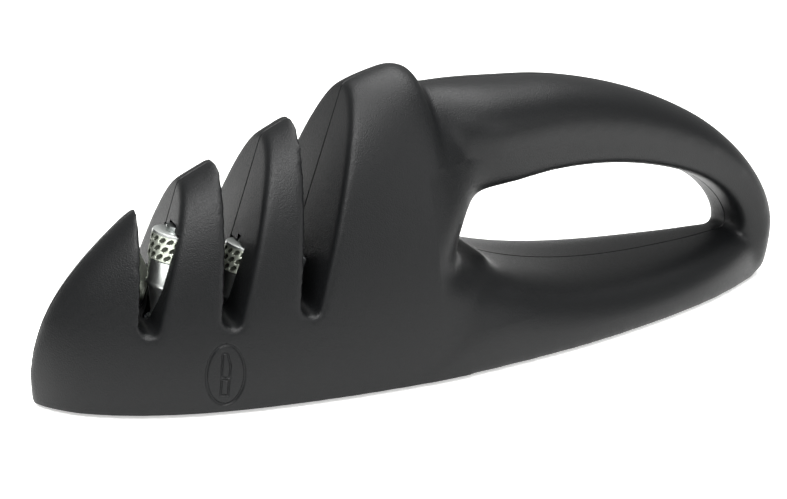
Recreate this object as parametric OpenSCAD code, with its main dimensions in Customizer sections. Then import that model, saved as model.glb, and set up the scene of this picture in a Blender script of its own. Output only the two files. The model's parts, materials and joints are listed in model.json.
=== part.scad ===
// Hand-held pull-through sharpener: two moulded half shells with a D handle and
// three transverse slots, each slot working on its own pair of crossed rollers.
// X runs along the tool (nose at -X), Y across it (parting plane at Y = 0), Z is up
// and the rubber pad's underside is at Z = 0.

/* [Body] */
// Overall length of the tool, nose to tail
body_length = 216; // [212:1:220]
// Thickness of the moulded shell walls
wall = 2.4; // [2.0:0.1:2.6]
// Height of the shells' lower edge above the ground
ground_gap = 1; // [0.6:0.1:1.2]

/* [Slots] */
// Distance from one slot to the next
slot_pitch = 17.5; // [17.3:0.1:17.8]
// Lean of each slot's front wall (the back of the fin before it)
front_lean = 10; // [9:0.5:11]
// Lean of each slot's rear wall (the face of the fin behind it)
rear_lean = 19; // [18:0.5:19.5]
// Width of a slot at its floor
slot_floor_w = 4.2; // [4:0.1:4.4]

/* [Rollers] */
// Radius of the dimpled head of the coarse and medium rollers
head_r = 5.4; // [5.1:0.1:5.4]
// Radius of the plain ceramic rollers of the third slot
ceramic_r = 4.4; // [4.2:0.1:4.4]
// Radius of the roller pins
pin_r = 1.5; // [1.4:0.1:1.6]
// Radius of the slim rollers that stand opposite them
slim_r = 3.2; // [3:0.1:3.3]
// Lean of the wide roller of each pair, towards the handle
wide_lean = 15; // [14:1:16]
// Lean of the slim roller of each pair, towards the nose
slim_lean = 20; // [19:1:21]

/* [Base] */
// Thickness of the rubber pad
pad_t = 2.6; // [2.2:0.1:3]
// Thickness of the base plate
plate_t = 2; // [1.8:0.1:2.4]

/* [Hidden] */

thin = 0.08;
play = 0.05;
plate_z = pad_t;
carrier_z = plate_z + plate_t;

// Slots: where the middle of each slot's floor lies, from the nose, and how high
slot_s = [25.7, 25.7 + slot_pitch, 25.7 + 2 * slot_pitch];
slot_z = [19, 19.8, 20.8];
slot_top = 90;

// Rollers: height of each pair's seat, the height above it and the place along the slot
// floor where the pair meets in a V, and how far from the parting plane and how long the
// wide and the slim rollers are
seat_z = [18.4, 13.6, 11];
vee_up = [14.6, 16, 14];
vee_shift = [2.6, 2.6, 1.6];
wide_y = [5.2, 5.2, 5.8];
slim_y = [4.4, 6.3, 6.3];
wide_len = [21.4, 20.6, 18];
slim_len = [16.2, 18.8, 17];
washer_t = 0.6;
washer_r = 3;
boss_r = 3.4;
boss_len = 6;
pin_root = 5.6;
rivet_r = 2.5;
rivet_t = 1.2;

// Carriers
carrier_half_y = 12.4;
carrier_len = 16;
carrier_shift = 3;
carrier_drop = 4.2;

// Fasteners: case screws lie across the tool, base screws stand up through the plate
case_screw_at = [[12, 13.5], [100, 56], [95, 13], [152, 52.5], [205.5, 25]];
screw_r = 1.45;
screw_hole_r = 1.6;
screw_head_r = 2.8;
screw_head_t = 1.8;
screw_seat = 7;
screw_len = 14;
case_boss_r = 3.6;
base_screw_at = [[82, 25], [82, -25], [150, 13], [150, -13]];
base_screw_len = 9;
base_boss_r = 3.4;
base_boss_top = 12.5;

// Outline of the body: [distance from nose, half width at the base, ridge height]
STATIONS = [[0.4, 0.8, 8], [2, 3.3, 14], [5, 7, 21], [9, 10.6, 27], [14, 13.9, 32.6],
            [20, 17.1, 38.1], [27, 20.1, 43.6], [36, 23.1, 48.6], [46, 25.5, 53.4],
            [56, 27.3, 57.4], [68, 29, 63.2], [80, 30.2, 69], [88, 30.7, 71.6],
            [92, 30.8, 72.3], [95, 30.9, 71.6], [97, 30.9, 69.4]];
// Root of the handle: the same, behind the last fin
ROOT = [[95, 30.9, 67.6], [101, 30.9, 67.2], [107, 30.8, 67.4], [114, 30.4, 66.8]];
// Lower bar: [distance from nose, half width at the base, top height]
BAR = [[100, 30.9, 33], [106, 30.8, 28], [113, 30.5, 22.5], [122, 29.9, 18.6],
       [134, 28.7, 15.6], [148, 26.6, 13.6], [163, 23.7, 12.8], [178, 20, 13],
       [189, 16.5, 13.5], [199, 12.6, 14.4], [208, 8.6, 14]];
// Grip and tail: [distance from nose, height, half thickness, half width, tilt]
GRIP = [[104, 53, 14.2, 20.4, 4], [112, 53.6, 13.6, 18.6, 2], [122, 54, 12.9, 16.8, -2],
        [134, 54.4, 12, 15.2, -5], [147, 53.3, 11, 14, -10], [160, 50.9, 10, 13, -16],
        [172, 47.4, 9, 12.2, -23], [183, 43, 8, 11.6, -31], [192.5, 37.5, 7, 11.1, -40],
        [200, 31.2, 6.4, 10.7, -52], [205.6, 24, 6.2, 10.4, -68],
        [208.4, 16.4, 6.4, 10, -84], [207.8, 6, 7.4, 9.2, -92], [206.6, 1.2, 8, 8.4, -92]];
bar_corner = 5.5;
// Last ring of the grip that is hollow
hollow_rings = 6;

function at(s) = s - body_length / 2;
// Half width of the body at height z, on a section with base half width w and ridge h
function flank(w, h, z) = z >= h ? 0 : w * sqrt(1 - pow(z / h, 1.6));
SECTION_U = [0, 0.25, 0.45, 0.6, 0.72, 0.82, 0.9, 0.96, 1];
function half_section(w, h) = [for (u = SECTION_U) [flank(w, h, u * h), u * h]];
function mirrored(pts) = concat(pts, [for (i = [len(pts) - 1:-1:0]) [-pts[i][0], pts[i][1]]]);
function full_section(w, h) =
    concat(half_section(w, h),
           [for (i = [len(SECTION_U) - 2:-1:0])
               [-flank(w, h, SECTION_U[i] * h), SECTION_U[i] * h]]);
// Section of the lower bar: broad, with round shoulders
function bar_half(w, h) =
    concat([[w, 0], [w * 0.985, h * 0.35]],
           [for (a = [0:22.5:90])
               [w * 0.95 - bar_corner * 0.9 * (1 - cos(a)),
                h - bar_corner + bar_corner * sin(a)]],
           [[w * 0.3, h + 0.5]]);

module slab(s, pts) {
    translate([at(s), 0, 0]) rotate([90, 0, 90]) linear_extrude(thin) polygon(pts);
}

module chain(rows, inset, bar) {
    for (i = [0:len(rows) - 2]) hull() for (j = [i, i + 1]) {
        w = max(rows[j][1] - inset, 0.3);
        h = rows[j][2] - inset;
        slab(rows[j][0], bar ? mirrored(bar_half(w, h)) : full_section(w, h));
    }
}

module grip_ring(row, inset) {
    translate([at(row[0]), 0, row[1]]) rotate([0, -row[4], 0]) rotate([90, 0, 90])
        linear_extrude(thin) scale([(row[3] - inset) / (row[2] - inset), 1])
            circle(r = row[2] - inset, $fn = 28);
}

module grip_chain(inset, last) {
    for (i = [0:last]) hull() {
        grip_ring(GRIP[i], inset);
        grip_ring(GRIP[i + 1], inset);
    }
}

module mass() {
    chain(STATIONS, 0, false);
    chain(ROOT, 0, false);
    chain(BAR, 0, true);
    grip_chain(0, len(GRIP) - 2);
}

// The hollow inside; the tail is moulded solid around its screw boss
module hollow() {
    chain(STATIONS, wall, false);
    chain(ROOT, wall, false);
    chain([for (row = BAR) if (row[0] < 165) row], wall, true);
    grip_chain(wall, hollow_rings);
}

// Space between the grip and the lower bar, cut square to the sides at its front
module finger_opening(grow) {
    hull() for (p = [[112, 27, 4], [117, 33, 7], [126, 36, 4]])
        translate([at(p[0]), 0, p[1]]) rotate([90, 0, 0])
            cylinder(r = p[2] + grow, h = 90, center = true, $fn = 28);
}

// One slot, as an outline in X and Z, grown by a wall thickness or not at all
module slot_outline(i, grow) {
    half = slot_floor_w / 2;
    rise = slot_top - slot_z[i];
    polygon([[at(slot_s[i]) - half - grow, slot_z[i] - grow],
             [at(slot_s[i]) + half + grow, slot_z[i] - grow],
             [at(slot_s[i]) + half + grow + rise * tan(rear_lean), slot_top],
             [at(slot_s[i]) - half - grow + rise * tan(front_lean), slot_top]]);
}

module slot_cut(i, grow) {
    rotate([90, 0, 0]) linear_extrude(100, center = true) slot_outline(i, grow);
}

// The wide roller of each pair is on the right, at -Y, and the slim one on the left
function radius(i, side) = side > 0 ? slim_r : i == 2 ? ceramic_r : head_r;
function length(i, side) = side > 0 ? slim_len[i] : wide_len[i];
function lean(side) = side > 0 ? -slim_lean : wide_lean;
function seat_x(i, side) =
    at(slot_s[i] + vee_shift[i]) - side * radius(i, side) / cos(lean(side))
    - vee_up[i] * tan(lean(side));

// Moves to a roller's seat with +Z up along its pin; side is +1 at +Y and -1 at -Y
module on_pin(i, side) {
    translate([seat_x(i, side), side > 0 ? slim_y[i] : -wide_y[i], seat_z[i]])
        rotate([0, lean(side), 0]) children();
}

// Room for a roller: round its boss, then widening to its head
module roller_pockets(i) {
    for (side = [-1, 1]) on_pin(i, side) {
        head = radius(i, side) + 0.6;
        boss = boss_r + 0.4;
        translate([0, 0, -boss_len - 0.5]) cylinder(r = boss, h = boss_len + 3.5, $fn = 28);
        translate([0, 0, 2]) cylinder(r1 = boss, r2 = head, h = 6, $fn = 28);
        translate([0, 0, 7.9]) cylinder(r = head, h = length(i, side) - 7.5, $fn = 28);
        translate([0, 0, 7.8]) cylinder(r = rivet_r + 0.4, h = length(i, side) - 5.9, $fn = 28);
    }
}

module case_axis(p, y) {
    translate([at(p[0]), y, p[1]]) rotate([-90, 0, 0]) children();
}

// Hollow casing before it is split at the parting plane
module casing(side) {
    difference() {
        mass();
        difference() {
            hollow();
            for (i = [0:2]) slot_cut(i, wall * 0.8);
            finger_opening(wall);
            for (p = case_screw_at) case_axis(p, -30)
                cylinder(r = case_boss_r, h = 60, $fn = 24);
            for (p = base_screw_at) translate([at(p[0]), p[1], 0])
                cylinder(r = base_boss_r, h = base_boss_top, $fn = 24);
        }
        for (i = [0:2]) {
            slot_cut(i, 0);
            roller_pockets(i);
            carrier_space(i);
        }
        finger_opening(0);
        base_space();
        for (p = case_screw_at) {
            case_axis(p, screw_seat - screw_len - 1.5)
                cylinder(r = screw_hole_r, h = screw_len + 2, $fn = 24);
            case_axis(p, screw_seat) cylinder(r = screw_head_r + 0.2, h = 30, $fn = 24);
        }
        for (p = base_screw_at) translate([at(p[0]), p[1], carrier_z])
            cylinder(r = screw_hole_r, h = base_screw_len - 1, $fn = 24);
        translate([-150, side > 0 ? -100 : 0, -10]) cube([300, 100, 100]);
        translate([-150, -50, -10]) cube([300, 100, 10 + ground_gap]);
    }
}

module carrier_space(i) {
    translate([at(slot_s[i]) + carrier_shift - carrier_len / 2 - 0.2, -carrier_half_y - 0.2, 0])
        cube([carrier_len + 0.4, 2 * carrier_half_y + 0.4, seat_z[i] - carrier_drop + 0.3]);
}

function plan(inset, last) =
    [for (r = concat(STATIONS, [for (b = BAR) if (b[0] > 98) b]))
        if (r[0] > 4 && r[0] < last) [at(r[0]) + (r[0] < 9 ? 1 : 0), r[1] - inset]];

module plan_outline(inset) {
    half = plan(inset, 205);
    polygon(concat(half, [for (i = [len(half) - 1:-1:0]) [half[i][0], -half[i][1]]]));
}

module base_space() {
    translate([0, 0, -5]) linear_extrude(5 + carrier_z) plan_outline(wall);
}

module shell_left() color("#24272a") casing(1);

module shell_right() color("#24272a") casing(-1);

module base_plate() color("#2b2d30") difference() {
    translate([0, 0, plate_z]) linear_extrude(plate_t) plan_outline(wall + 0.2);
    for (p = base_screw_at) translate([at(p[0]), p[1], -1])
        cylinder(r = screw_hole_r, h = 10, $fn = 32);
}

module rubber_pad() color("#1a1b1c") difference() {
    linear_extrude(pad_t) plan_outline(wall + 0.4);
    for (p = base_screw_at) translate([at(p[0]), p[1], -1])
        cylinder(r = screw_head_r + 0.4, h = 10, $fn = 32);
}

module carrier(i) {
    color("#303336") difference() {
        union() {
            translate([at(slot_s[i]) + carrier_shift - carrier_len / 2, -carrier_half_y, carrier_z])
                cube([carrier_len, 2 * carrier_half_y, seat_z[i] - carrier_drop - carrier_z]);
            for (side = [-1, 1]) on_pin(i, side)
                translate([0, 0, -boss_len]) cylinder(r = boss_r, h = boss_len, $fn = 40);
        }
        for (side = [-1, 1]) on_pin(i, side)
            translate([0, 0, -pin_root - 0.1]) cylinder(r = pin_r + 0.02, h = 20, $fn = 40);
        translate([-120, -50, carrier_z - 20]) cube([240, 100, 20]);
    }
}

// Wide steel roller: neck, cone, rim, smooth land and head, bored for its pin
module steel_roller(i) {
    top = length(i, -1);
    color("#b9beb8") on_pin(i, -1) rotate_extrude($fn = 64)
        polygon([[pin_r + play, washer_t + play], [2.3, washer_t + play], [2.3, 2],
                 [4, top - 13.6], [4.7, top - 12.8], [4.7, top - 12.2],
                 [4.5, top - 11.8], [5, top - 6.8], [head_r, top - 6.4],
                 [head_r, top - 0.7], [head_r - 0.7, top], [pin_r + play, top]]);
}

module plain_roller(i, side, tint) {
    top = length(i, side);
    r = radius(i, side);
    color(tint) on_pin(i, side) rotate_extrude($fn = 64)
        polygon([[pin_r + play, washer_t + play], [2.3, washer_t + play], [r, 3.4],
                 [r, top - 0.6], [r - 0.6, top], [pin_r + play, top]]);
}

module pin(i, side) {
    top = length(i, side);
    color("#8d9192") on_pin(i, side) {
        translate([0, 0, -pin_root])
            cylinder(r = pin_r, h = pin_root + top + 0.1, $fn = 40);
        translate([0, 0, top + play]) cylinder(r = rivet_r, h = rivet_t, $fn = 40);
    }
}

module washers(i) {
    color("#6d7072") for (side = [-1, 1]) on_pin(i, side) difference() {
        cylinder(r = washer_r, h = washer_t, $fn = 40);
        translate([0, 0, -1]) cylinder(r = pin_r + play, h = 4, $fn = 40);
    }
}

module screw(length) {
    cylinder(r = screw_head_r, h = screw_head_t, $fn = 40);
    translate([0, 0, -length]) cylinder(r = screw_r, h = length + 0.1, $fn = 40);
}

module coarse_carrier() carrier(0);
module medium_carrier() carrier(1);
module fine_carrier() carrier(2);
module coarse_roller_left() plain_roller(0, 1, "#b9beb8");
module coarse_roller_right() steel_roller(0);
module medium_roller_left() plain_roller(1, 1, "#b9beb8");
module medium_roller_right() steel_roller(1);
module fine_roller_left() plain_roller(2, 1, "#4a4d4f");
module fine_roller_right() plain_roller(2, -1, "#4a4d4f");
module coarse_pin_left() pin(0, 1);
module coarse_pin_right() pin(0, -1);
module medium_pin_left() pin(1, 1);
module medium_pin_right() pin(1, -1);
module fine_pin_left() pin(2, 1);
module fine_pin_right() pin(2, -1);
module coarse_washers() washers(0);
module medium_washers() washers(1);
module fine_washers() washers(2);

module case_screws() color("#9a9d9e")
    for (p = case_screw_at) case_axis(p, screw_seat) screw(screw_len);

module base_screws() color("#9a9d9e")
    for (p = base_screw_at) translate([at(p[0]), p[1], plate_z]) mirror([0, 0, 1])
        screw(base_screw_len);

shell_left();
shell_right();
base_plate();
rubber_pad();
coarse_carrier();
medium_carrier();
fine_carrier();
coarse_roller_left();
coarse_roller_right();
medium_roller_left();
medium_roller_right();
fine_roller_left();
fine_roller_right();
coarse_pin_left();
coarse_pin_right();
medium_pin_left();
medium_pin_right();
fine_pin_left();
fine_pin_right();
coarse_washers();
medium_washers();
fine_washers();
case_screws();
base_screws();
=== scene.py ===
"""A hand-held pull-through sharpener with a D handle, three slots and crossed rollers.

The packed solids are loaded as a fixed frame. The moulded casing, the rollers and the
screws are modelled here in millimetres in that frame, and the inner parts keep their
solids and get their finishes. Along the tool, s is the distance from the nose in mm.
"""

import json
import math

import bmesh
import bpy
from mathutils import Matrix, Vector
from mathutils.geometry import intersect_point_line


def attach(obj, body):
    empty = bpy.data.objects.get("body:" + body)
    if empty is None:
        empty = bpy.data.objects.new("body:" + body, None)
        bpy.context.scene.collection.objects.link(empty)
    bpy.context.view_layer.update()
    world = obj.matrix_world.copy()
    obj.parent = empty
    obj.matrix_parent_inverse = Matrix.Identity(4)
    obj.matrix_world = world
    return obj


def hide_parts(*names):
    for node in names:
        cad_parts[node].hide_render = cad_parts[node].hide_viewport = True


bl_info = {
    "name": "Pull-through Sharpener",
    "version": (1, 0, 0),
    "blender": (4, 5, 0),
    "location": "3D View > Sidebar > Sharpener",
    "description": "Builds the casing, rollers and screws of a pull-through sharpener",
    "category": "Object",
}

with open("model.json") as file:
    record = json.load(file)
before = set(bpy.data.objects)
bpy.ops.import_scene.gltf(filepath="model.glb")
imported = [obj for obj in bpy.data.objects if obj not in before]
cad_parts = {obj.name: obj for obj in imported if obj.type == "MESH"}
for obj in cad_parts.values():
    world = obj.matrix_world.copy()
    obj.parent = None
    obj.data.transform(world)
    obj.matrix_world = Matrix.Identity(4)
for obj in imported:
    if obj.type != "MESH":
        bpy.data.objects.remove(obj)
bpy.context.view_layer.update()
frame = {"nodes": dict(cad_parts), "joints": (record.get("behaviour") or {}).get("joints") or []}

MM = 0.001
BODY_LENGTH = 216.0

# Body: distance from the nose, half width at the base, ridge height
STATIONS = (
    (0.4, 0.8, 8), (2, 3.3, 14), (5, 7, 21), (9, 10.6, 27), (14, 13.9, 32.6), (20, 17.1, 38.1),
    (27, 20.1, 43.6), (36, 23.1, 48.6), (46, 25.5, 53.4), (56, 27.3, 57.4), (68, 29, 63.2),
    (80, 30.2, 69), (88, 30.7, 71.6), (92, 30.8, 72.3), (95, 30.9, 71.6), (97, 30.9, 69.4),
)
# Root of the handle, behind the last fin
ROOT = (
    (92, 30.9, 67.7), (97, 30.9, 67.3), (101, 29.6, 67.2), (104.5, 26.2, 67.2),
    (108, 21.8, 67.3), (112, 17.5, 67.3),
)
# Lower bar, with its top height; it swells out of the body's flank ahead of the opening
BAR = (
    (78, 29.9, 5), (85, 30.6, 10.3), (91, 30.9, 14.5), (96, 31, 20), (100, 31, 22.5),
    (106, 30.9, 23.2), (113, 30.5, 21.8), (122, 29.9, 18.6), (134, 28.7, 15.6),
    (148, 26.6, 13.6), (163, 23.7, 12.8), (178, 20, 13), (189, 16.5, 13.5), (199, 12.6, 14.4),
    (208, 8.6, 14),
)
# Grip and tail: distance from the nose, height, half thickness, half width, tilt in degrees
GRIP = (
    (98, 52.4, 14.2, 12.6, 4), (104, 53, 14.2, 15, 4), (112, 53.6, 13.6, 17.2, 2),
    (122, 54, 12.9, 16.6, -2),
    (134, 54.4, 12, 15.2, -5), (147, 53.3, 11, 14, -10), (160, 50.9, 10, 13, -16),
    (172, 47.4, 9, 12.2, -23), (183, 43, 8, 11.6, -31), (192.5, 37.5, 7, 11.1, -40),
    (200, 31.2, 6.4, 10.7, -52), (205.6, 24, 6.2, 10.4, -68), (208.4, 16.4, 6.4, 10, -84),
    (207.8, 6, 7.4, 9.2, -92), (206.6, 1.4, 8, 8.4, -92),
)
# Half section of the grip, as shares of its half width and half thickness: round on top,
# widest at the middle, drawn in below and with a lip along the edge of its flat underside
GRIP_SECTION = (
    (0, 1), (0.38, 0.93), (0.72, 0.7), (0.94, 0.38), (1, 0.05), (0.94, -0.25), (0.87, -0.48),
    (0.86, -0.72), (0.77, -0.93), (0.5, -1), (0, -1),
)
# Roundness of a section's side and of its top: 2 is an ellipse, more is squarer
BODY_ROUNDNESS = (2.0, 1.6)
BAR_ROUNDNESS = (3.6, 3.4)

WALL = 2.4
SLOT_PLACES = (25.7, 43.2, 60.7)
SLOT_FLOORS = (19.0, 19.8, 20.8)
SLOT_FLOOR_WIDTH = 4.2
SLOT_TOP = 90.0
FRONT_LEAN = 10.0
REAR_LEAN = 19.0
CARRIER_LENGTH = 16.4
CARRIER_WIDTH = 25.2
CARRIER_SHIFT = 3.0
SEAT_HEIGHTS = (18.4, 13.6, 11.0)
PLATE_TOP = 4.6
CASE_SCREWS = ((12, 13.5), (100, 56), (95, 13), (152, 52.5), (205.5, 25))
BASE_SCREWS = ((82, 25), (82, -25), (150, 13), (150, -13))
SCREW_SEAT = 7.0
BASE_SCREW_SEAT = 2.6
CASE_BOSS_RADIUS = 3.6
BASE_BOSS_RADIUS = 3.4
BASE_BOSS_TOP = 12.5
SCREW_HOLE_RADIUS = 1.6
HEAD_HOLE_RADIUS = 3.0
# Rooms round the rollers: radius at a boss and at a rivet, and the gap at a roller's head
BOSS_ROOM = 3.8
RIVET_ROOM = 2.9
HEAD_GAP = 0.6
SLOT_WALL = 1.9
STAGES = ("coarse", "medium", "fine")
ROLLER_LENGTHS = {"left": (16.2, 18.8, 17.0), "right": (21.4, 20.6, 18.0)}
ROLLER_RADII = {"left": (3.2, 3.2, 3.2), "right": (5.4, 5.4, 4.4)}


def linear(code):
    """The linear colour of an sRGB hex value, with full opacity."""
    parts = [int(code[i : i + 2], 16) / 255 for i in (1, 3, 5)]
    return [c / 12.92 if c <= 0.04045 else ((c + 0.055) / 1.055) ** 2.4 for c in parts] + [1.0]


def along(s):
    """X in millimetres of a place s from the nose."""
    return s - BODY_LENGTH / 2


def length_prop(name, description, default):
    """A length setting whose default is given in millimetres."""
    return bpy.props.FloatProperty(
        name=name, description=description, default=default * MM, min=0, unit="LENGTH"
    )


def colour_prop(name, description, code):
    """A colour setting whose default is given as an sRGB hex value."""
    return bpy.props.FloatVectorProperty(
        name=name, description=description, default=linear(code), size=4, min=0, max=1,
        subtype="COLOR",
    )


class CasingSettings(bpy.types.PropertyGroup):
    """Moulded casing."""

    grid: length_prop("Grid", "Spacing of the casing's surface mesh", 0.57)
    seam_depth: length_prop("Seam depth", "Depth of the groove where the halves meet", 0.28)
    seam_width: length_prop("Seam width", "Width of the dark line where the halves meet", 0.3)
    emblem_depth: length_prop("Emblem depth", "Depth of the engraved oval", 0.32)
    emblem_line: length_prop("Emblem line", "Half width of the engraved lines", 0.24)
    grain: length_prop("Grain", "Size of the spark texture's pits", 0.32)
    colour: colour_prop("Plastic", "Colour of the moulded plastic", "#0c0d0e")
    seam_colour: colour_prop("Seam", "Colour in the joint between the halves", "#050506")


class RollerSettings(bpy.types.PropertyGroup):
    """Sharpening rollers."""

    dimple_length: length_prop("Dimple length", "Length of a dimple", 2.1)
    dimple_width: length_prop("Dimple width", "Width of a dimple", 1.05)
    dimple_depth: length_prop("Dimple depth", "Depth of a dimple", 0.4)
    dimple_slant: bpy.props.FloatProperty(
        name="Dimple slant", description="Lean of the dimples from the roller's girth",
        default=math.radians(38), subtype="ANGLE",
    )
    dimples_round: bpy.props.IntProperty(
        name="Dimples round", description="Number of dimples in a row", default=17, min=3
    )
    steel: colour_prop("Steel", "Colour of the polished steel", "#dfe3e0")
    coating: colour_prop("Coating", "Colour of the abrasive coating", "#ced4c6")
    # Painted shade: the dark colour of the dimples' bottoms stands in for the shadow in them
    pits: colour_prop("Pit shade", "Colour at the bottom of the dimples", "#34372f")
    stone: colour_prop("Stone", "Colour of the fine ceramic rollers", "#4a4d4f")


class InnerSettings(bpy.types.PropertyGroup):
    """Inner parts and fasteners."""

    plastic: colour_prop("Inner plastic", "Colour of the base plate and the carriers", "#24272a")
    rubber: colour_prop("Rubber", "Colour of the pad", "#161718")
    pin: colour_prop("Pin steel", "Colour of the pins and washers", "#a3a7a6")
    screw: colour_prop("Screw", "Colour of the zinc plated screws", "#b4b8b6")


class StageSettings(bpy.types.PropertyGroup):
    """Camera, lights and floor."""

    lens: bpy.props.FloatProperty(
        name="Lens", description="Focal length in millimetres", default=50.3, min=1
    )
    floor: colour_prop("Floor", "Colour of the floor and backdrop", "#fbfbfa")


# Materials


def add_node(tree, kind, inputs=None, **settings):
    """Adds a shader node with its settings; an input is given as a value or as a socket to link."""
    made = tree.nodes.new(kind)
    for name, value in settings.items():
        setattr(made, name, value)
    for name, value in (inputs or {}).items():
        if isinstance(value, bpy.types.NodeSocket):
            tree.links.new(value, made.inputs[name])
        else:
            made.inputs[name].default_value = value
    return made


def new_material(name, **shader):
    """A material with one principled shader, and its tree, shader and object coordinates."""
    material = bpy.data.materials.new(name)
    material.use_nodes = True
    tree = material.node_tree
    shell = next(n for n in tree.nodes if n.type == "BSDF_PRINCIPLED")
    for socket, value in shader.items():
        shell.inputs[socket.replace("_", " ")].default_value = value
    place = add_node(tree, "ShaderNodeTexCoord").outputs["Object"]
    return material, tree, shell, place


def roughen(tree, shell, place, size, depth, strength, detail=2.0):
    """Bump of a random grain whose lumps are about size across, in metres."""
    noise = add_node(
        tree, "ShaderNodeTexNoise", {"Vector": place, "Scale": 1 / size, "Detail": detail}
    )
    bump = add_node(
        tree, "ShaderNodeBump",
        {"Height": noise.outputs["Fac"], "Strength": strength, "Distance": depth},
    )
    tree.links.new(bump.outputs["Normal"], shell.inputs["Normal"])
    return noise


def spark_textured_abs(settings):
    """ABS moulded in a spark-eroded tool: charcoal, with a fine grain that glints."""
    material, tree, shell, place = new_material(
        "Spark textured ABS", IOR=1.54, Roughness=0.42, Specular_IOR_Level=0.2
    )
    noise = roughen(tree, shell, place, settings.grain, 0.07 * MM, 0.9, 1.0)
    gloss = add_node(
        tree, "ShaderNodeMapRange",
        {"Value": noise.outputs["Fac"], "From Min": 0.35, "From Max": 0.7,
         "To Min": 0.36, "To Max": 0.5},
    )
    tree.links.new(gloss.outputs["Result"], shell.inputs["Roughness"])
    apart = add_node(tree, "ShaderNodeSeparateXYZ", {"Vector": place})
    off_seam = add_node(
        tree, "ShaderNodeMath", {0: apart.outputs["Y"]}, operation="ABSOLUTE"
    )
    seam = add_node(
        tree, "ShaderNodeMath", {0: off_seam.outputs[0], 1: settings.seam_width / 2},
        operation="LESS_THAN",
    )
    tint = add_node(
        tree, "ShaderNodeMix",
        {"Factor": seam.outputs[0], "A": list(settings.colour), "B": list(settings.seam_colour)},
        data_type="RGBA",
    )
    tree.links.new(tint.outputs["Result"], shell.inputs["Base Color"])
    return material


def polished_steel(settings):
    """Turned and polished steel: bright, with faint marks of the turning tool."""
    material, tree, shell, place = new_material("Polished steel", Metallic=1.0, Roughness=0.34)
    shell.inputs["Base Color"].default_value = settings.steel
    roughen(tree, shell, place, 0.4 * MM, 0.01 * MM, 0.3)
    return material


def coated_steel(settings):
    """Steel with a fine abrasive plated on: pale grey-green, dull and gritty."""
    material, tree, shell, place = new_material("Abrasive plated steel", Metallic=0.85, Roughness=0.42)
    shell.inputs["Base Color"].default_value = settings.coating
    roughen(tree, shell, place, 0.16 * MM, 0.03 * MM, 0.5)
    return material


def painted_pit_shade(settings):
    """Painted shade at the bottom of the dimples: a dark, duller steel that stands in for the shadow
    in them.
    """
    material, tree, shell, place = new_material("Painted pit shade", Metallic=0.5, Roughness=0.6)
    shell.inputs["Base Color"].default_value = settings.pits
    roughen(tree, shell, place, 0.16 * MM, 0.03 * MM, 0.5)
    return material


def fine_stone(settings):
    """Fired alumina ceramic, ground round: dark grey and matt."""
    material, tree, shell, place = new_material("Ground ceramic", IOR=1.76, Roughness=0.5)
    shell.inputs["Base Color"].default_value = settings.stone
    roughen(tree, shell, place, 0.2 * MM, 0.015 * MM, 0.4)
    return material


def ground_pin_steel(settings):
    """Ground steel wire: plain metal with a satin gloss."""
    material, tree, shell, place = new_material("Ground pin steel", Metallic=1.0, Roughness=0.3)
    shell.inputs["Base Color"].default_value = settings.pin
    roughen(tree, shell, place, 0.25 * MM, 0.008 * MM, 0.3)
    return material


def zinc_plate(settings):
    """Zinc plated screw steel: pale, slightly blotched metal."""
    material, tree, shell, place = new_material("Zinc plated steel", Metallic=1.0, Roughness=0.33)
    shell.inputs["Base Color"].default_value = settings.screw
    roughen(tree, shell, place, 0.5 * MM, 0.01 * MM, 0.3)
    return material


def plain_moulded_abs(settings):
    """ABS from a plain tool: black, smooth and a little glossy."""
    material, tree, shell, place = new_material("Plain moulded ABS", IOR=1.54, Roughness=0.38)
    shell.inputs["Base Color"].default_value = settings.plastic
    roughen(tree, shell, place, 1.2 * MM, 0.02 * MM, 0.25)
    return material


def pad_rubber(settings):
    """Thermoplastic rubber: black and matt, with a faint skin."""
    material, tree, shell, place = new_material("Pad rubber", IOR=1.5, Roughness=0.75)
    shell.inputs["Base Color"].default_value = settings.rubber
    roughen(tree, shell, place, 0.35 * MM, 0.05 * MM, 0.4)
    return material


# Shapes


def solid(name, shape):
    """A new object made of a bmesh."""
    mesh = bpy.data.meshes.new(name)
    shape.to_mesh(mesh)
    shape.free()
    made = bpy.data.objects.new(name, mesh)
    bpy.context.scene.collection.objects.link(made)
    return made


def settle(made):
    """Applies an object's modifiers to its mesh."""
    graph = bpy.context.evaluated_depsgraph_get()
    graph.update()
    mesh = bpy.data.meshes.new_from_object(made.evaluated_get(graph))
    made.modifiers.clear()
    old = made.data
    made.data = mesh
    bpy.data.meshes.remove(old)


def combine(made, other, operation):
    """Cuts, joins or intersects a closed solid with another, which is used up."""
    step = made.modifiers.new("Combine", "BOOLEAN")
    step.operation = operation
    step.solver = "MANIFOLD"
    step.object = other
    settle(made)
    bpy.data.objects.remove(other)
    if not made.data.polygons:
        raise RuntimeError(f"{made.name} has nothing left after {operation}")


def ring(shape, points):
    """One closed loop of edges through the points."""
    verts = bmesh.ops.create_circle(shape, segments=len(points), radius=1)["verts"]
    for vert, point in zip(verts, points):
        vert.co = point
    return list({edge for vert in verts for edge in vert.link_edges})


def loft(shape, outlines):
    """A closed solid through a row of outlines with the same number of points."""
    rings = [ring(shape, points) for points in outlines]
    faces = []
    for one, two in zip(rings, rings[1:]):
        faces += bmesh.ops.bridge_loops(shape, edges=one + two)["faces"]
    for end in (rings[0], rings[-1]):
        faces += bmesh.ops.edgeloop_fill(shape, edges=end)["faces"]
    bmesh.ops.recalc_face_normals(shape, faces=faces)


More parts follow.
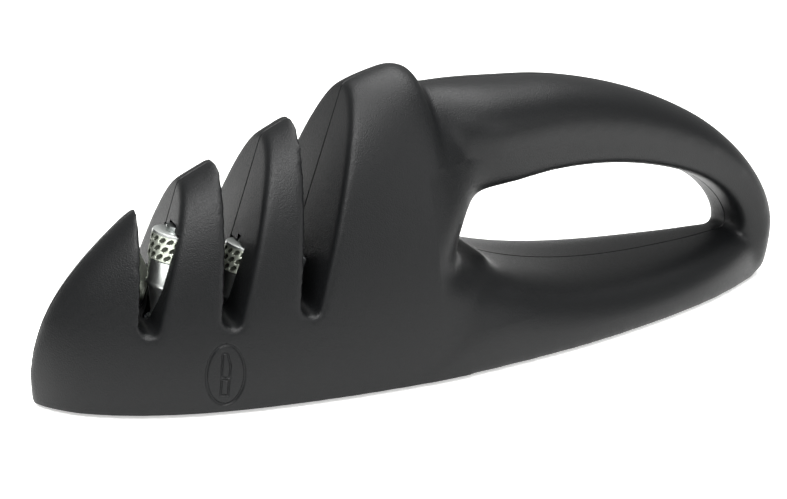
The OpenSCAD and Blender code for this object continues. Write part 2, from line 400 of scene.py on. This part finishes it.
def finer(rows, step):
    """Rows about step apart, on a smooth curve through the given rows."""
    made = []
    for i in range(len(rows) - 1):
        p, a, b, q = rows[max(i - 1, 0)], rows[i], rows[i + 1], rows[min(i + 2, len(rows) - 1)]
        count = max(1, round(math.dist(a[:2], b[:2]) / step))
        for k in range(count):
            t = k / count
            made.append([
                a[j] + 0.5 * t * (b[j] - p[j] + t * (2 * p[j] - 5 * a[j] + 4 * b[j] - q[j]
                                                     + t * (3 * a[j] - p[j] - 3 * b[j] + q[j])))
                for j in range(len(a))
            ])
    return made + [list(rows[-1])]


def arch(s, half_width, height, roundness, count=56):
    """Outline of a flat-bottomed section across the tool."""
    side, top = roundness
    points = []
    for k in range(count + 1):
        turn = math.pi * k / count
        across = math.copysign(abs(math.cos(turn)) ** (2 / side), math.cos(turn))
        points.append((along(s), half_width * across, height * math.sin(turn) ** (2 / top)))
    return points


def grip_outline(row, inset):
    """Outline of the grip square to its middle line."""
    s, z, half_thick, half_width, tilt = row
    up = Matrix.Rotation(-math.radians(tilt), 3, "Y") @ Vector((0, 0, 1))
    middle = Vector((along(s), 0, z))
    half = finer(GRIP_SECTION, 0.07)
    return [
        middle + Vector((0, across * (half_width - inset), 0)) + up * (rise * (half_thick - inset))
        for across, rise in half + [(-across, rise) for across, rise in half[-2:0:-1]]
    ]


def body_mass(inset, step):
    """The casing's outline as overlapping lofts, or the same with its walls taken off."""
    shape = bmesh.new()
    for rows, roundness in ((STATIONS, BODY_ROUNDNESS), (ROOT, BODY_ROUNDNESS), (BAR, BAR_ROUNDNESS)):
        if inset and rows is BAR:
            rows = [row for row in rows if row[0] < 165]
        loft(shape, [
            arch(s, max(w - inset, 0.3), z - inset, roundness)
            for s, w, z in finer(rows, step)
        ])
    rows = [row for row in GRIP if row[0] < 173] if inset else GRIP
    loft(shape, [grip_outline(row, inset) for row in finer(rows, step)])
    return solid("mass", shape)


def prism(outline, half_width):
    """A solid across the tool with an outline given as places s and heights."""
    shape = bmesh.new()
    loft(shape, [[(along(s), y, z) for s, z in outline] for y in (-half_width, half_width)])
    return solid("prism", shape)


def slot_outline(stage, grow):
    """Outline of one slot, with its floor rounded where it isn't grown."""
    s, z = SLOT_PLACES[stage], SLOT_FLOORS[stage]
    half = SLOT_FLOOR_WIDTH / 2
    rise = SLOT_TOP - z
    corners = [
        (s + half + grow + rise * math.tan(math.radians(REAR_LEAN)), SLOT_TOP),
        (s - half - grow + rise * math.tan(math.radians(FRONT_LEAN)), SLOT_TOP),
    ]
    if grow:
        return corners + [(s - half - grow, z - grow), (s + half + grow, z - grow)]
    floor = [
        (s - half * math.cos(math.pi * k / 10), z + half * (1 - math.sin(math.pi * k / 10)))
        for k in range(11)
    ]
    return corners + floor


def flare(y):
    """How far the front of the finger opening runs on towards the nose at a distance y."""
    past = max(0.0, abs(y) - 7)
    return 9 * (1 - math.sqrt(1 - (min(past, 17) / 17.6) ** 2)) + 0.6 * max(0.0, past - 17)


def finger_opening(grow):
    """The round front of the space under the grip, which opens out towards both flanks."""
    outlines = []
    for k in range(-23, 24):
        y = math.copysign(abs(k / 23) ** 0.8, k) * 45
        run = flare(y)
        outline = []
        for s, z, radius, start, end in (
            (126, 37, 4, -90, 90), (111 - 0.8 * run, 34 + 0.2 * run, 6 + 0.2 * run, 90, 170),
            (106.8 - run, 28, 4 + 0.1 * run, 170, 270),
        ):
            for step in range(13):
                turn = math.radians(start + (end - start) * step / 12)
                outline.append((
                    along(s + (radius + grow) * math.cos(turn)), y,
                    z + (radius + grow) * math.sin(turn),
                ))
        outlines.append(outline)
    shape = bmesh.new()
    loft(shape, outlines)
    return solid("opening", shape)


def rod(radius, length, place, turn=Matrix.Identity(4), count=40):
    """A cylinder that starts at a place and runs along Z, turned about that place."""
    shape = bmesh.new()
    bmesh.ops.create_cone(
        shape, cap_ends=True, segments=count, radius1=radius, radius2=radius, depth=length,
        matrix=Matrix.Translation(place) @ turn @ Matrix.Translation((0, 0, length / 2)),
    )
    return solid("rod", shape)


def brick(low, high):
    """A box between two corners."""
    shape = bmesh.new()
    low, high = Vector(low), Vector(high)
    bmesh.ops.create_cube(
        shape, size=1,
        matrix=Matrix.Translation((low + high) / 2) @ Matrix.Diagonal((*(high - low), 1)),
    )
    return solid("brick", shape)


def joint_of(body):
    """The joint that a body turns on, as its seat in millimetres and its axis."""
    joint = next(j for j in frame["joints"] if j["child"] == body)
    return Vector(joint["pos_m"]) / MM, Vector(joint["axis"]).normalized()


def standing(body):
    """Turn and place of a roller: its Z runs up its pin from the seat."""
    seat, axis = joint_of(body)
    across = Vector((0, 1, 0))
    turn = Matrix((across.cross(axis), across, axis)).transposed().to_4x4()
    return Matrix.Translation(seat) @ turn


def finish_piece(made, body, node, materials, sharp_angle=38):
    """Brings a piece from millimetres to metres, gives it its finishes and binds it to the frame."""
    made.data.transform(Matrix.Scale(MM, 4))
    made.data.materials.clear()
    for material in materials:
        made.data.materials.append(material)
    made.data.shade_smooth()
    made.data.set_sharp_from_angle(angle=math.radians(sharp_angle))
    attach(made, body)
    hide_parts(node)


# Casing


def cut_outline(mass, grow):
    """Takes the slots and the front of the finger opening out of a mass."""
    for stage in range(3):
        combine(mass, prism(slot_outline(stage, grow), 45), "DIFFERENCE")
    combine(mass, finger_opening(2 * grow), "DIFFERENCE")


def evenly_meshed(made, grid):
    """Joins overlapping solids into one skin of even squares."""
    remesh = made.modifiers.new("Even mesh", "REMESH")
    remesh.mode = "VOXEL"
    remesh.voxel_size = grid
    settle(made)


def ease(made, rounds, chosen):
    """Smooths the chosen vertices, more the more rounds there are."""
    shape = bmesh.new()
    shape.from_mesh(made.data)
    verts = [vert for vert in shape.verts if chosen(vert.co)]
    for _ in range(rounds):
        bmesh.ops.smooth_vert(
            shape, verts=verts, factor=0.5, use_axis_x=True, use_axis_y=True, use_axis_z=True
        )
    shape.to_mesh(made.data)
    shape.free()


def blends(co):
    """The root of the handle and the ends of the finger opening, which flow into each other."""
    s = co.x + BODY_LENGTH / 2
    return s > 99


def opening_front(far):
    """Chooses the skin round the front of the finger opening, as far back as far."""
    return lambda co: 92 < co.x + BODY_LENGTH / 2 < far and 12 < co.z < 50


def engrave(made, settings):
    """Engraves the oval with its plain knife into the right half's flank."""
    middle = Vector((along(40.1), 0, 9.8))
    lean = Matrix.Rotation(math.radians(-9), 3, "Y")
    half_width, half_height = 4.1, 6.9
    line = settings.emblem_line / MM
    blade = [(-0.9, -0.6), (0.9, -0.6), (0.9, 2.6), (0.1, 4.9), (-0.9, 4.9), (-0.9, -0.6)]
    grip = [(-0.8, -1.2), (-0.8, -4.8), (0.8, -4.8), (0.8, -1.2), (-0.8, -1.2)]
    shape = bmesh.new()
    shape.from_mesh(made.data)

    def near(co, room):
        local = lean @ (co - middle)
        return co.y < -12 and abs(local.x) < half_width + room and abs(local.z) < half_height + room

    for _ in range(2):
        edges = [e for e in shape.edges if all(near(v.co, 1.5) for v in e.verts)]
        bmesh.ops.subdivide_edges(shape, edges=edges, cuts=1, use_grid_fill=True)
    marked = [v for v in shape.verts if near(v.co, 1.2)]
    for vert in marked:
        local = lean @ (vert.co - middle)
        point = Vector((local.x, local.z))
        reach = math.hypot(point.x / half_width, point.y / half_height)
        gap = abs(reach - 1) * half_width * half_height / max(
            math.hypot(point.x / half_width * half_height, point.y / half_height * half_width), 0.1
        )
        for outline in (blade, grip):
            for one, two in zip(outline, outline[1:]):
                foot, share = intersect_point_line(point, Vector(one), Vector(two))
                foot = Vector(one).lerp(Vector(two), min(max(share, 0), 1))
                gap = min(gap, (point - foot).length + 0.06)
        depth = settings.emblem_depth / MM * max(0.0, 1 - (gap / (line * 1.6)) ** 2)
        vert.co -= vert.normal * depth
    shape.to_mesh(made.data)
    shape.free()


def groove_seam(made, depth):
    """Sinks the skin a little where the halves will part."""
    shape = bmesh.new()
    shape.from_mesh(made.data)
    parts = bmesh.ops.bisect_plane(
        shape, geom=shape.verts[:] + shape.edges[:] + shape.faces[:], dist=0.02,
        plane_co=(0, 0, 0), plane_no=(0, 1, 0),
    )
    shape.normal_update()
    for vert in {v for v in parts["geom_cut"] if isinstance(v, bmesh.types.BMVert)}:
        sunk = vert.normal * depth
        vert.co -= Vector((sunk.x, 0, sunk.z))
    shape.to_mesh(made.data)
    shape.free()


def inner_space():
    """The hollow of the casing, with the bosses and the walls of the slots left standing."""
    space = body_mass(WALL, 6)
    evenly_meshed(space, 1.6)
    cut_outline(space, SLOT_WALL)
    for s, z in CASE_SCREWS:
        turn = Matrix.Rotation(math.radians(-90), 4, "X")
        combine(space, rod(CASE_BOSS_RADIUS, 60, (along(s), -30, z), turn), "DIFFERENCE")
    for s, y in BASE_SCREWS:
        combine(space, rod(BASE_BOSS_RADIUS, BASE_BOSS_TOP, (along(s), y, 0)), "DIFFERENCE")
    return space


def plan_outline(inset):
    """Outline of the base in plan, inside the shells' lower edge."""
    rows = [row for row in STATIONS if row[0] > 4] + [row for row in BAR if 99 < row[0] < 205]
    side = [(along(row[0]) + (1 if row[0] < 9 else 0), row[1] - inset) for row in rows]
    return side + [(x, -y) for x, y in reversed(side)]


def base_space():
    """Room for the base plate and the pad."""
    shape = bmesh.new()
    outline = plan_outline(WALL)
    loft(shape, [[(x, y, z) for x, y in outline] for z in (-5, PLATE_TOP)])
    return solid("base space", shape)


def roller_space(stage, side):
    """Room for one roller to turn: round its boss, then widening to its head."""
    top = ROLLER_LENGTHS[side][stage] + 0.4
    head = ROLLER_RADII[side][stage] + HEAD_GAP
    profile = [
        (0, -6.5), (BOSS_ROOM, -6.5), (BOSS_ROOM, 2), (head, 8), (head, top), (RIVET_ROOM, top),
        (RIVET_ROOM, top + 1.5), (0, top + 1.5),
    ]
    room = solid("room", turned(profile, 48))
    room.data.transform(standing(f"{STAGES[stage]}_{side}"))
    return room


def cut_rooms(made):
    """Cuts the rooms for the rollers, the carriers, the base plate and the screws."""
    for stage in range(3):
        for side in ("left", "right"):
            combine(made, roller_space(stage, side), "DIFFERENCE")
        middle = along(SLOT_PLACES[stage]) + CARRIER_SHIFT
        combine(made, brick(
            (middle - CARRIER_LENGTH / 2, -CARRIER_WIDTH / 2, -5),
            (middle + CARRIER_LENGTH / 2, CARRIER_WIDTH / 2, SEAT_HEIGHTS[stage] - 3.9),
        ), "DIFFERENCE")
    combine(made, base_space(), "DIFFERENCE")
    turn = Matrix.Rotation(math.radians(-90), 4, "X")
    for s, z in CASE_SCREWS:
        combine(made, rod(SCREW_HOLE_RADIUS, 17, (along(s), -8.5, z), turn), "DIFFERENCE")
        combine(made, rod(HEAD_HOLE_RADIUS, 30, (along(s), SCREW_SEAT, z), turn), "DIFFERENCE")
    for s, y in BASE_SCREWS:
        combine(made, rod(SCREW_HOLE_RADIUS, 8, (along(s), y, 4)), "DIFFERENCE")


class SHARPENER_OT_casing(bpy.types.Operator):
    """Models the two halves of the moulded casing"""

    bl_idname = "sharpener.casing"
    bl_label = "Casing"

    def execute(self, context):
        settings = context.scene.sharpener_casing
        grid = settings.grid / MM
        mass = body_mass(0, 2.5)
        evenly_meshed(mass, grid)
        cut_outline(mass, 0)
        evenly_meshed(mass, grid)
        ease(mass, 14, lambda co: True)
        ease(mass, 40, blends)
        for rounds, far in ((80, 116), (40, 121), (20, 127), (10, 134)):
            ease(mass, rounds, opening_front(far))
        combine(mass, brick((-120, -50, -10), (120, 50, 1)), "DIFFERENCE")
        groove_seam(mass, settings.seam_depth / MM)
        engrave(mass, settings)
        combine(mass, inner_space(), "DIFFERENCE")
        cut_rooms(mass)
        plastic = spark_textured_abs(settings)
        for side, low, high in (("left", 0, 60), ("right", -60, 0)):
            half = mass.copy()
            half.data = mass.data.copy()
            half.name = f"shell_{side}_moulded"
            context.scene.collection.objects.link(half)
            combine(half, brick((-120, low, -10), (120, high, 100)), "INTERSECT")
            finish_piece(half, "housing", f"shell_{side}", [plastic])
        bpy.data.objects.remove(mass)
        return {"FINISHED"}


# Rollers and screws


def turned(profile, steps):
    """A closed body of revolution about Z from its outline of radii and heights."""
    shape = bmesh.new()
    verts = [shape.verts.new((radius, 0, z)) for radius, z in profile]
    edges = [shape.edges.new(pair) for pair in zip(verts, verts[1:] + verts[:1])]
    bmesh.ops.spin(
        shape, geom=verts + edges, cent=(0, 0, 0), axis=(0, 0, 1), dvec=(0, 0, 0),
        angle=math.tau, steps=steps, use_merge=True, use_duplicate=False,
    )
    bmesh.ops.remove_doubles(shape, verts=shape.verts, dist=1e-4)
    bmesh.ops.recalc_face_normals(shape, faces=shape.faces)
    return shape


def close_spaced(profile, low, high, step):
    """The outline with extra points between the heights low and high."""
    made = []
    for one, two in zip(profile, profile[1:] + profile[:1]):
        made.append(one)
        if one[0] == two[0] and {one[1], two[1]} == {low, high}:
            count = round((high - low) / step)
            made += [
                (one[0], one[1] + (two[1] - one[1]) * k / count) for k in range(1, count)
            ]
    return made


def dimple(shape, radius, low, high, rows, settings):
    """Presses rows of slanting oblong dimples into the band between two heights."""
    long, wide = settings.dimple_length / MM / 2, settings.dimple_width / MM / 2
    slant = settings.dimple_slant
    pitch_round = math.tau * radius / settings.dimples_round
    pitch_up = (high - low) / rows
    for vert in shape.verts:
        if abs(math.hypot(vert.co.x, vert.co.y) - radius) > 0.01 or not low < vert.co.z < high:
            continue
        row = min(int((vert.co.z - low) / pitch_up), rows - 1)
        round_place = math.atan2(vert.co.y, vert.co.x) % math.tau * radius + row * pitch_round / 2
        u = (round_place % pitch_round) - pitch_round / 2
        v = vert.co.z - low - (row + 0.5) * pitch_up
        a = (u * math.cos(slant) + v * math.sin(slant)) / long
        b = (v * math.cos(slant) - u * math.sin(slant)) / wide
        depth = settings.dimple_depth / MM * max(0.0, 1 - a * a - b * b) ** 0.6
        vert.co.xy *= 1 - depth / radius


def coat(made, radius, low, high):
    """Gives the band between two heights the second finish, and its dimples the third, a painted
    shade.
    """
    for face in made.data.polygons:
        sunk = radius - math.hypot(face.center.x, face.center.y)
        if low < face.center.z < high and sunk < 0.7:
            # Faces sunk more than 0.1 mm into a dimple get the painted shade, the rest of the band the
            # coating
            face.material_index = 2 if sunk > 0.1 else 1


def wide_profile(top):
    """Outline of a wide roller: neck, cone, rim, land and head."""
    return [
        (1.55, 0.65), (2.3, 0.65), (2.3, 2), (4, top - 13.6), (4.65, top - 12.9),
        (4.7, top - 12.5), (4.65, top - 12.2), (4.5, top - 11.8), (5, top - 6.8),
        (5.4, top - 6.4), (5.4, top - 0.7), (5.25, top - 0.2), (4.7, top), (1.55, top),
    ]


def slim_profile(radius, top):
    """Outline of a plain roller on a short neck."""
    return [
        (1.55, 0.65), (2.3, 0.65), (radius, 3.4), (radius, top - 0.6),
        (radius - 0.2, top - 0.15), (radius - 0.6, top), (1.55, top),
    ]


class SHARPENER_OT_steel_rollers(bpy.types.Operator):
    """Models the dimpled steel rollers of the first two slots"""

    bl_idname = "sharpener.steel_rollers"
    bl_label = "Steel rollers"

    def execute(self, context):
        settings = context.scene.sharpener_rollers
        # The third finish is the painted shade in the dimples
        finishes = [polished_steel(settings), coated_steel(settings), painted_pit_shade(settings)]
        for stage in (0, 1):
            for side in ("left", "right"):
                top, radius = ROLLER_LENGTHS[side][stage], ROLLER_RADII[side][stage]
                profile = wide_profile(top) if side == "right" else slim_profile(radius, top)
                low = top - 6.4 if side == "right" else 3.4
                high = top - 0.7 if side == "right" else top - 0.6
                rows = 3 if side == "right" else 8
                shape = turned(close_spaced(profile, low, high, 0.2), 190 if side == "right" else 110)
                if side == "right":
                    dimple(shape, radius, low, high, rows, settings)
                made = solid(f"{STAGES[stage]}_roller_{side}_turned", shape)
                coat(made, radius, low - 0.1, high + 0.1)
                indices = [face.material_index for face in made.data.polygons]
                made.data.transform(standing(f"{STAGES[stage]}_{side}"))
                finish_piece(
                    made, f"{STAGES[stage]}_{side}", f"{STAGES[stage]}_roller_{side}",
                    finishes,
                )
                made.data.polygons.foreach_set("material_index", indices)
        return {"FINISHED"}


class SHARPENER_OT_stone_rollers(bpy.types.Operator):
    """Models the plain ceramic rollers of the third slot"""

    bl_idname = "sharpener.stone_rollers"
    bl_label = "Ceramic rollers"

    def execute(self, context):
        stone = fine_stone(context.scene.sharpener_rollers)
        for side in ("left", "right"):
            radius, top = ROLLER_RADII[side][2], ROLLER_LENGTHS[side][2]
            made = solid(f"fine_roller_{side}_ground", turned(slim_profile(radius, top), 96))
            made.data.transform(standing(f"fine_{side}"))
            finish_piece(made, f"fine_{side}", f"fine_roller_{side}", [stone])
        return {"FINISHED"}


def screw(place, turn, length):
    """A pan head screw with a cross recess; its shank runs down from the head's seat."""
    profile = [
        (0, -length), (1.0, -length), (1.45, -length + 0.8), (1.45, 0), (2.8, 0), (2.8, 0.9),
        (2.55, 1.4), (2.0, 1.7), (1.2, 1.8), (0, 1.8),
    ]
    made = solid("screw", turned(profile, 48))
    for half_x, half_y in ((1.5, 0.32), (0.32, 1.5)):
        combine(made, brick((-half_x, -half_y, 0.7), (half_x, half_y, 3)), "DIFFERENCE")
    made.data.transform(Matrix.Translation(place) @ turn)
    return made


class SHARPENER_OT_screws(bpy.types.Operator):
    """Models the case screws and the base screws"""

    bl_idname = "sharpener.screws"
    bl_label = "Screws"

    def execute(self, context):
        zinc = zinc_plate(context.scene.sharpener_inner)
        across = Matrix.Rotation(math.radians(-90), 4, "X")
        down = Matrix.Rotation(math.radians(180), 4, "X")
        places = {
            "case_screws": [((along(s), SCREW_SEAT, z), across, 14) for s, z in CASE_SCREWS],
            "base_screws": [((along(s), y, BASE_SCREW_SEAT), down, 9) for s, y in BASE_SCREWS],
        }
        for node, rows in places.items():
            shape = bmesh.new()
            for place, turn, length in rows:
                one = screw(Vector(place), turn, length)
                shape.from_mesh(one.data)
                bpy.data.objects.remove(one)
            made = solid(f"{node}_recessed", shape)
            finish_piece(made, "housing", node, [zinc], 30)
        return {"FINISHED"}


class SHARPENER_OT_inner_parts(bpy.types.Operator):
    """Gives the pad, the base plate, the carriers, the pins and the washers their finishes"""

    bl_idname = "sharpener.inner_parts"
    bl_label = "Inner parts"

    def execute(self, context):
        settings = context.scene.sharpener_inner
        plastic, steel = plain_moulded_abs(settings), ground_pin_steel(settings)
        finishes = {"rubber_pad": pad_rubber(settings), "base_plate": plastic}
        for stage in STAGES:
            finishes[f"{stage}_carrier"] = plastic
            for part in ("pin_left", "pin_right", "washers"):
                finishes[f"{stage}_{part}"] = steel
        for node, material in finishes.items():
            data = frame["nodes"][node].data
            data.materials.clear()
            data.materials.append(material)
        return {"FINISHED"}


# Stage


def soft_light(name, place, target, size, power):
    """A square soft light that faces a point."""
    light = bpy.data.lights.new(name, "AREA")
    light.size = size
    light.energy = power
    made = bpy.data.objects.new(name, light)
    bpy.context.scene.collection.objects.link(made)
    made.location = place
    made.rotation_euler = (Vector(target) - Vector(place)).to_track_quat("-Z", "Y").to_euler()


class SHARPENER_OT_stage(bpy.types.Operator):
    """Makes the floor, the soft lights and the camera"""

    bl_idname = "sharpener.stage"
    bl_label = "Stage"

    def execute(self, context):
        settings = context.scene.sharpener_stage
        shape = bmesh.new()
        bmesh.ops.create_grid(shape, x_segments=1, y_segments=1, size=4)
        bmesh.ops.translate(shape, verts=shape.verts, vec=(0, 0, -0.2 * MM))
        floor = solid("floor", shape)
        material, tree, shell, place = new_material(
            "Matt backdrop paper", Roughness=0.9, Emission_Strength=0.5
        )
        shell.inputs["Emission Color"].default_value = settings.floor
        shell.inputs["Base Color"].default_value = settings.floor
        floor.data.materials.append(material)
        middle = (0.0, 0.0, 0.03)
        soft_light("key", (-0.35, -0.35, 0.75), middle, 0.5, 9)
        soft_light("top", (0.15, 0.15, 0.9), middle, 0.7, 11)
        soft_light("fill", (0.35, -0.8, 0.45), middle, 0.6, 3)
        world = bpy.data.worlds.new("Studio")
        world.use_nodes = True
        backdrop = world.node_tree.nodes["Background"]
        backdrop.inputs["Color"].default_value = settings.floor
        backdrop.inputs["Strength"].default_value = 0.4
        context.scene.world = world
        camera = bpy.data.cameras.new("camera")
        camera.lens = settings.lens
        camera.sensor_width = 36
        camera.clip_start = 0.01
        made = bpy.data.objects.new("camera", camera)
        context.scene.collection.objects.link(made)
        made.location = (-0.1277, -0.2406, 0.1207)
        made.rotation_euler = Vector((0.3971, 0.8517, -0.3420)).to_track_quat("-Z", "Y").to_euler()
        context.scene.camera = made
        context.scene.view_settings.view_transform = "Standard"
        return {"FINISHED"}


class SHARPENER_PT_panel(bpy.types.Panel):
    """The sharpener's settings and its pieces"""

    bl_label = "Sharpener"
    bl_space_type = "VIEW_3D"
    bl_region_type = "UI"
    bl_category = "Sharpener"

    def draw(self, context):
        for name, group in SETTINGS.items():
            box = self.layout.box()
            box.label(text=group.__doc__)
            for prop in group.__annotations__:
                box.prop(getattr(context.scene, name), prop)
        for operator in OPERATORS:
            self.layout.operator(operator.bl_idname)


SETTINGS = {
    "sharpener_casing": CasingSettings,
    "sharpener_rollers": RollerSettings,
    "sharpener_inner": InnerSettings,
    "sharpener_stage": StageSettings,
}
OPERATORS = (
    SHARPENER_OT_stage, SHARPENER_OT_inner_parts, SHARPENER_OT_steel_rollers,
    SHARPENER_OT_stone_rollers, SHARPENER_OT_screws, SHARPENER_OT_casing,
)


def register():
    for group in SETTINGS.values():
        bpy.utils.register_class(group)
    for operator in OPERATORS:
        bpy.utils.register_class(operator)
    bpy.utils.register_class(SHARPENER_PT_panel)
    for name, group in SETTINGS.items():
        setattr(bpy.types.Scene, name, bpy.props.PointerProperty(type=group))


def unregister():
    for name in SETTINGS:
        delattr(bpy.types.Scene, name)
    bpy.utils.unregister_class(SHARPENER_PT_panel)
    for made in (*OPERATORS, *SETTINGS.values()):
        bpy.utils.unregister_class(made)


def main():
    register()
    bpy.ops.sharpener.stage()
    bpy.ops.sharpener.inner_parts()
    bpy.ops.sharpener.steel_rollers()
    bpy.ops.sharpener.stone_rollers()
    bpy.ops.sharpener.screws()
    bpy.ops.sharpener.casing()


if __name__ == "__main__":
    main()
